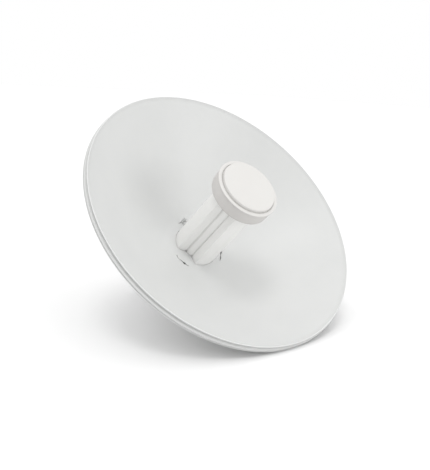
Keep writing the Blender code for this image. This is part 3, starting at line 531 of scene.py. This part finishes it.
def makeGland():
    gland = {"bore": 0.0026, "barrel": 0.0039, "collar": 0.0051, "high": -0.0523, "low": -0.0553, "at": -0.0125}
    bore, barrel, collar, high, low = (gland[key] for key in ("bore", "barrel", "collar", "high", "low"))
    profile = [(bore + 0.0002, -high), (barrel, -high), (barrel, -low), (collar - 0.0003, -low), (collar, -low + 0.0003),
               (collar, -low + 0.0006), (collar - 0.0005, -low + 0.0010), (bore + 0.0006, -low + 0.0011),
               (bore, -low + 0.0008), (bore, -low + 0.0001), (bore + 0.0004, -low - 0.0004), (bore + 0.0004, -low - 0.0012),
               (bore, -low - 0.0016)]
    ring = turned("cableGland", profile, 64)
    moveTo(ring, turn=90, axis="X")
    moveTo(ring, (0, 0, gland["at"]))
    return mount(layDown(ring), "port_slide", "cable_gland", blackRubber)


def makeSoft(node, name, body, look, width, angle=40, segments=2):
    # a copy of the CAD piece with every edge eased
    piece = fromCad(node)
    piece.name = name
    softEdges(piece, width, segments, angle)
    tidyMesh(piece, 30)
    return mount(piece, body, node, look)


makeHubHousing()
makeHubCover()
makeVent()
makeGland()
makeSoft("port_cover", "portSlide", "port_slide", hubPlastic, 0.0006, segments=3)
makeSoft("release_button", "releaseKey", "release", buttonPlastic, 0.0005, segments=3)
makeSoft("led_lens", "lampLens", "feed", lightPipe, 0.0002)
makeSoft("tail_plate", "tailPlate", "feed", tubePlastic, 0.0002)
print("hub moulded")


# ---- brackets, bent and punched from sheet
makeSoft("dish_bracket", "dishBracket", "dish_unit", zincPlate, 0.0004)
makeSoft("pole_bracket", "poleBracket", "pole_mount", zincPlate, 0.0004)
makeSoft("clamp_jaw", "clampJaw", "jaw", zincPlate, 0.0004)
print("brackets bent")


# ---- fasteners
def threadedRod(name, radius, low, high, pitch, depth=0.00035, corners=36):
    # ridges stand for the thread, one to a pitch
    count = int((high - low - 0.0012) / pitch)
    profile = [(radius - 0.00095, low), (radius - depth, low + 0.0008)]
    for i in range(count):
        base = low + 0.0009 + i * pitch
        profile += [(radius - depth, base + pitch * 0.15), (radius, base + pitch * 0.45), (radius, base + pitch * 0.60),
                    (radius - depth, base + pitch * 0.90)]
    profile.append((radius - depth, high))
    return turned(name, profile, corners, closed=False)


def hexBlank(name, flats, low, high, bothEnds=False):
    # six-sided blank with its corners turned down
    clearPick()
    reach = flats / math.sqrt(3)
    bpy.ops.mesh.primitive_cylinder_add(vertices=6, radius=reach, depth=high - low, location=(0, 0, (low + high) / 2))
    blank = settle(bpy.context.object)
    blank.name = name
    inner = flats / 2 * 0.96
    drop = (reach * 1.01 - inner) * math.tan(math.radians(30))
    start = [(inner, low), (reach * 1.01, low + drop)] if bothEnds else [(reach * 1.01, low - 0.001)]
    barrel = turned("barrel", start + [(reach * 1.01, high - drop), (inner, high)], 72, closed=False)
    return cutWith(blank, barrel, mode="INTERSECT")


def makeHexBolt(name, flats, head, shank, pitch, reach):
    # head above the origin, threaded shank below it
    bolt = hexBlank(name, flats, 0.0, head)
    rod = threadedRod("rod", shank, -reach, 0.0004, pitch)
    cutWith(bolt, rod, mode="UNION")
    dimple = turned("dimple", [(flats * 0.30, head - 0.0003), (flats * 0.34, head + 0.001)], 48, closed=False)
    cutWith(bolt, dimple)
    return tidyMesh(bolt, 28)


def makeHexNut(name, flats, bore, height, flange=0.0):
    nut = hexBlank(name, flats, 0.0, height, bothEnds=not flange)
    if flange:
        skirt = turned("skirt", [(flange - 0.0003, 0.0), (flange, 0.0003), (flange, height * 0.16),
                                 (flange - 0.0005, height * 0.22), (flats / 2, height * 0.32)], 72, closed=False)
        cutWith(nut, skirt, mode="UNION")
    hole = turned("hole", [(bore + 0.0006, -0.0005), (bore + 0.0006, 0.0), (bore, 0.0006), (bore, height - 0.0006),
                           (bore + 0.0006, height), (bore + 0.0006, height + 0.0005)], 48, closed=False)
    cutWith(nut, hole)
    return tidyMesh(nut, 28)


def makeWasher(name, inner, outer, thick):
    ease = 0.0002
    return turned(name, [(inner, ease), (inner + ease, 0), (outer - ease * 2, 0), (outer, ease * 2), (outer, thick - ease),
                         (outer - ease, thick), (inner + ease, thick), (inner, thick - ease)], 72)


def makeCrossBolts():
    ears = {"out": 0.0265, "gap": 0.0003, "depth": -0.0463, "washer": 0.0016, "nut": 0.0065, "past": 0.0095}
    kinds = {
        "pivot": {"y": 0.0120, "flats": 0.0130, "head": 0.0053, "shank": 0.0040, "washer": 0.0080, "pitch": 0.00125,
                  "body": "pole_mount"},
        "lock": {"y": -0.0100, "flats": 0.0100, "head": 0.0040, "shank": 0.0030, "washer": 0.0066, "pitch": 0.0010,
                 "body": "dish_unit"},
    }
    seat = ears["out"] + ears["gap"]
    nutSeat = seat + ears["washer"] + ears["gap"]
    for kind, made in kinds.items():
        centre = (0, made["y"], ears["depth"])
        bore = made["shank"] + 0.0003
        bolt = makeHexBolt(kind + "Bolt", made["flats"], made["head"], made["shank"], made["pitch"], seat + nutSeat + ears["past"])
        washer = makeWasher(kind + "Washer", bore, made["washer"], ears["washer"])
        nut = makeHexNut(kind + "Nut", made["flats"], bore, ears["nut"])
        for piece, turn, along, node in ((bolt, 90, seat, "bolt"), (washer, -90, -seat, "washer"), (nut, -90, -nutSeat, "nut")):
            moveTo(piece, turn=turn, axis="Y")
            moveTo(piece, (along, centre[1], centre[2]))
            mount(layDown(piece), made["body"], kind + "_" + node, boltZinc)


def makeHubBolts():
    screw = {"circle": 0.0452, "seat": -0.0259, "flats": 0.0080, "head": 0.0035, "shank": 0.0025, "end": -0.0075}
    first = makeHexBolt("hubBolt1", screw["flats"], screw["head"], screw["shank"], 0.0008, screw["end"] - screw["seat"])
    moveTo(first, turn=180, axis="X")
    bolts = [first] + [copyOf(first, "hubBolt" + str(number)) for number in (2, 3, 4)]
    for number, bolt in enumerate(bolts, 1):
        angle = math.radians(90 * number - 45)
        moveTo(bolt, turn=17 * number)
        moveTo(bolt, (screw["circle"] * math.cos(angle), screw["circle"] * math.sin(angle), screw["seat"]))
        mount(layDown(bolt), "dish_unit", "bracket_bolt_" + str(number), boltZinc)


def makeClampBolts():
    clamp = {"across": 0.0360, "seat": -0.060994, "tip": -0.1240, "shank": 0.00392, "neck": 0.0040, "head": 0.0078,
             "jawBack": -0.105094, "washer": 0.0016, "nut": 0.0065}
    seat, head, neck = clamp["seat"], clamp["head"], clamp["neck"]
    dome = [(head - 0.0003, seat)] + [
        (head * math.cos(angle), seat + 0.0004 + 0.0036 * math.sin(angle)) for angle in (0, 0.25, 0.5, 0.75, 1.0, 1.25, 1.45)]
    left = turned("clampBoltLeft", dome, 64, closed=False)
    square = plateBlock("square", (-neck, -neck, seat - 0.0040), (neck, neck, seat + 0.0004))
    softEdges(square, 0.0004, 2)
    rod = threadedRod("rod", clamp["shank"], clamp["tip"], seat - 0.0036, 0.00125)
    cutWith(left, square, rod, mode="UNION")
    tidyMesh(left, 28)
    washer = makeWasher("clampWasherLeft", 0.0043, 0.0080, clamp["washer"])
    moveTo(washer, (0, 0, clamp["jawBack"] - clamp["washer"]))
    nut = makeHexNut("clampNutLeft", 0.0130, 0.0043, clamp["nut"], flange=0.0080)
    moveTo(nut, turn=180, axis="X")
    moveTo(nut, (0, 0, clamp["jawBack"] - clamp["washer"] - 0.0003))
    for piece, node, body, turn in ((left, "clamp_bolt_", "pole_mount", 0), (washer, "clamp_washer_", "jaw", 0),
                                    (nut, "clamp_nut_", "jaw", 40)):
        other = copyOf(piece, piece.name.replace("Left", "Right"))
        moveTo(other, turn=turn)
        moveTo(other, (clamp["across"], 0, 0))
        moveTo(piece, (-clamp["across"], 0, 0))
        mount(layDown(piece), body, node + "left", boltZinc)
        mount(layDown(other), body, node + "right", boltZinc)


makeCrossBolts()
makeHubBolts()
makeClampBolts()
print("fasteners threaded")


# ---- looks for what stays as it comes
carried = {
    "radio_board": boardGreen, "radio_shield": pressedAluminium, "processor_shield": pressedAluminium,
    "ethernet_jack": blackPlastic, "reset_switch": blackPlastic, "reset_button": buttonPlastic,
    "subreflector": pressedAluminium, "driven_element": pressedAluminium, "cap_seal": blackRubber,
    "feed_seal": blackRubber,
}
for node, look in carried.items():
    nodes[node].data.materials.clear()
    nodes[node].data.materials.append(look)
print("inner pieces finished")


# ---- room
def makeFloor():
    paper = {"size": 30, "colour": (0.84, 0.84, 0.84, 1)}
    clearPick()
    bpy.ops.mesh.primitive_grid_add(x_subdivisions=8, y_subdivisions=8, size=paper["size"], location=(0, 0, 0))
    floor = bpy.context.object
    floor.name = "paleFloor"
    made, tree, shader = newLook("palePaper")
    shader.inputs["Base Color"].default_value = paper["colour"]
    shader.inputs["Roughness"].default_value = 0.95
    floor.data.materials.append(made)


def addLamp(name, azimuth, elevation, spread, strength):
    # a very wide, far softbox, placed by where it stands round the unit
    data = bpy.data.lights.new(name, "SUN")
    data.angle = math.radians(spread)
    data.energy = strength
    lamp = bpy.data.objects.new(name, data)
    bpy.context.scene.collection.objects.link(lamp)
    around, up = math.radians(azimuth), math.radians(elevation)
    back = Vector((math.sin(around) * math.cos(up), -math.cos(around) * math.cos(up), math.sin(up)))
    lamp.location = back * 2
    lamp.rotation_euler = back.to_track_quat("Z", "Y").to_euler()


def lightRoom():
    room = {"sky": 1.0, "key": 0.47, "top": 0.56, "side": 0.62}
    sky = bpy.data.worlds.new("softRoom")
    sky.use_nodes = True
    glow = sky.node_tree.nodes["Background"]
    glow.inputs["Color"].default_value = (1.0, 1.0, 1.0, 1)
    glow.inputs["Strength"].default_value = room["sky"]
    bpy.context.scene.world = sky
    addLamp("keyLamp", -50, 67, 18, room["key"])
    addLamp("topLamp", 0, 89, 80, room["top"])
    addLamp("sideLamp", 18, 7, 30, room["side"])
    bpy.context.scene.view_settings.view_transform = "Standard"


def setCamera():
    shot = {"place": (-0.59907, -0.66952, 0.32687), "turn": (76.9034, -3.2546, -40.2315), "lens": 49.787}
    data = bpy.data.cameras.new("shopCamera")
    data.lens = shot["lens"]
    data.sensor_width = 36
    data.clip_start = 0.01
    camera = bpy.data.objects.new("shopCamera", data)
    bpy.context.scene.collection.objects.link(camera)
    camera.location = shot["place"]
    camera.rotation_euler = [math.radians(angle) for angle in shot["turn"]]
    bpy.context.scene.camera = camera


makeFloor()
lightRoom()
setCamera()
print("room lit")
